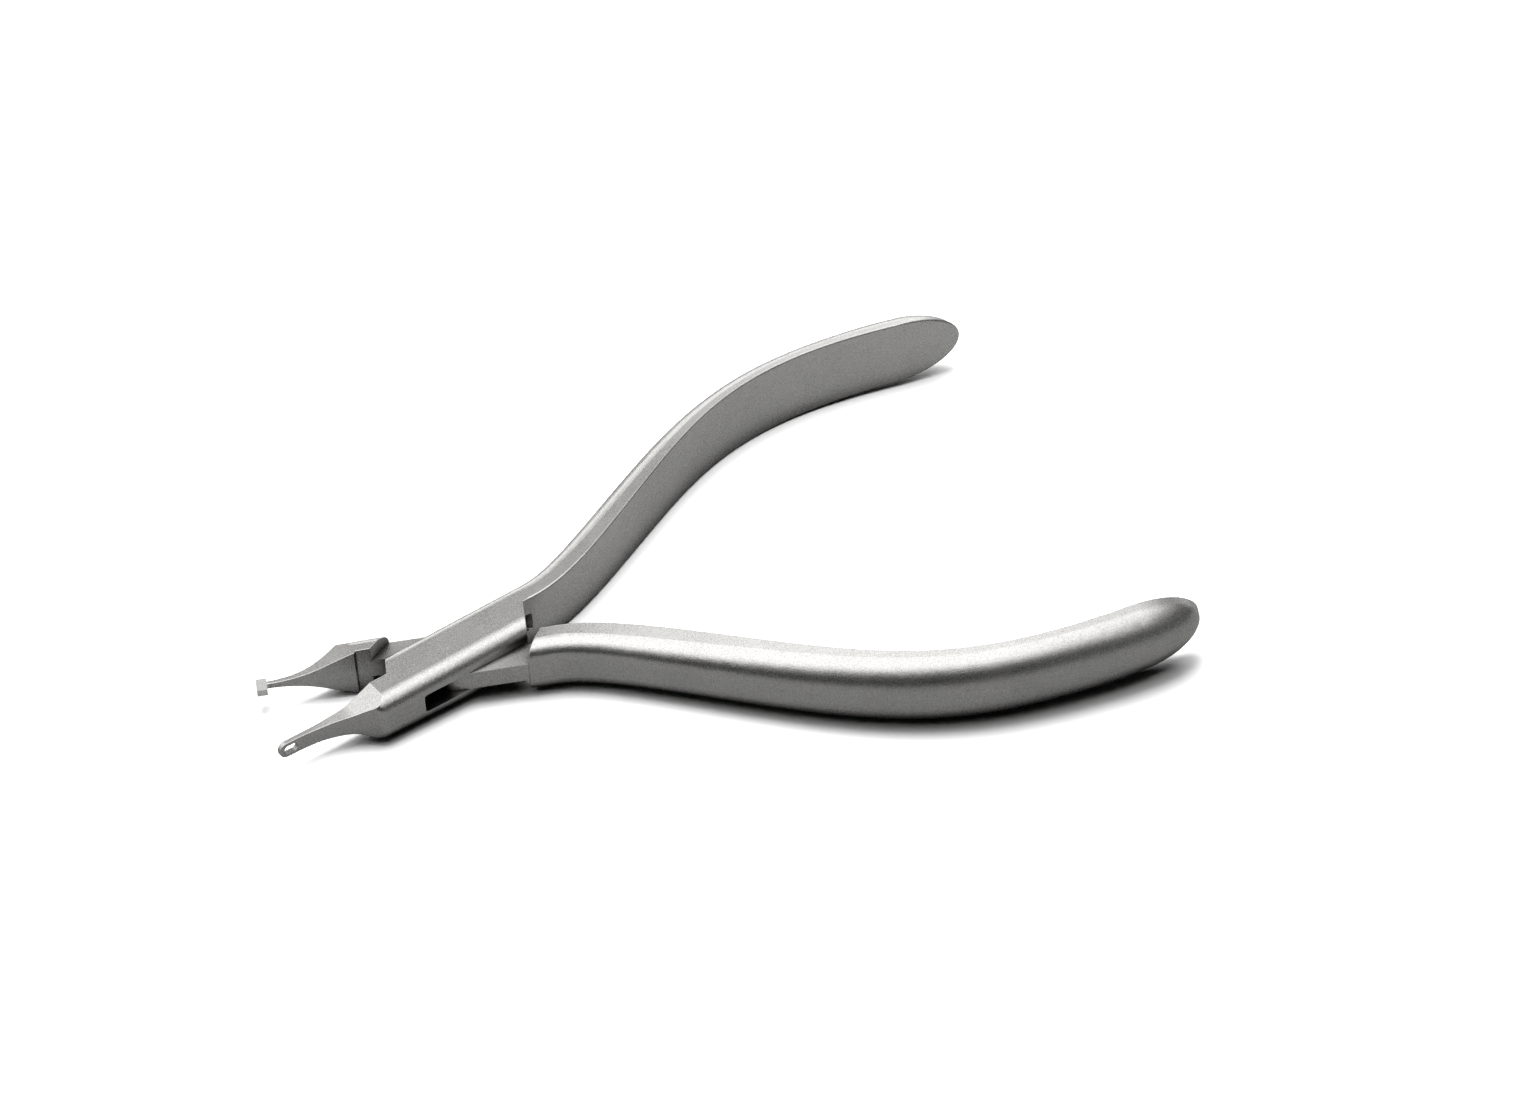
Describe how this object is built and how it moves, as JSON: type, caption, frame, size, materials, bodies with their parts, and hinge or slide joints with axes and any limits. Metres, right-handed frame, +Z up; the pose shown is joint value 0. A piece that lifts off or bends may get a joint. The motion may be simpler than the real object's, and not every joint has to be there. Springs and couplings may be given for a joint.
{
  "type": "box-joint crimping pliers",
  "caption": "Slim stainless box-joint crimping pliers: a slotted blade jaw takes a small square foot on the other jaw; bowed bare handles.",
  "frame": {"origin": "on the pivot axis, on the outer face of the lower cheek", "axes": "+X along the tool's centreline from the jaws to the handles, +Y towards the box half's handle, +Z up along the pivot axis, with the pliers lying flat and open"},
  "size_m": [0.1293, 0.0836, 0.0121],
  "materials": {
    "satin_steel_box": "fine satin, glass-bead blasted and brushed",
    "satin_steel_tongue": "fine satin, glass-bead blasted and brushed",
    "pin_steel": "ground flush with the cheeks, satin"
  },
  "bodies": {
    "box_side": {"box_half": "satin_steel_box", "pivot_pin": "pin_steel"},
    "tongue_side": {"tongue_half": "satin_steel_tongue"}
  },
  "joints": [
    {"name": "pliers_pivot", "type": "hinge", "parent": "box_side", "child": "tongue_side", "pos_m": [0, 0, 0], "axis": [0, 0, 1], "range_deg": [-12, 26.2]}
  ]
}
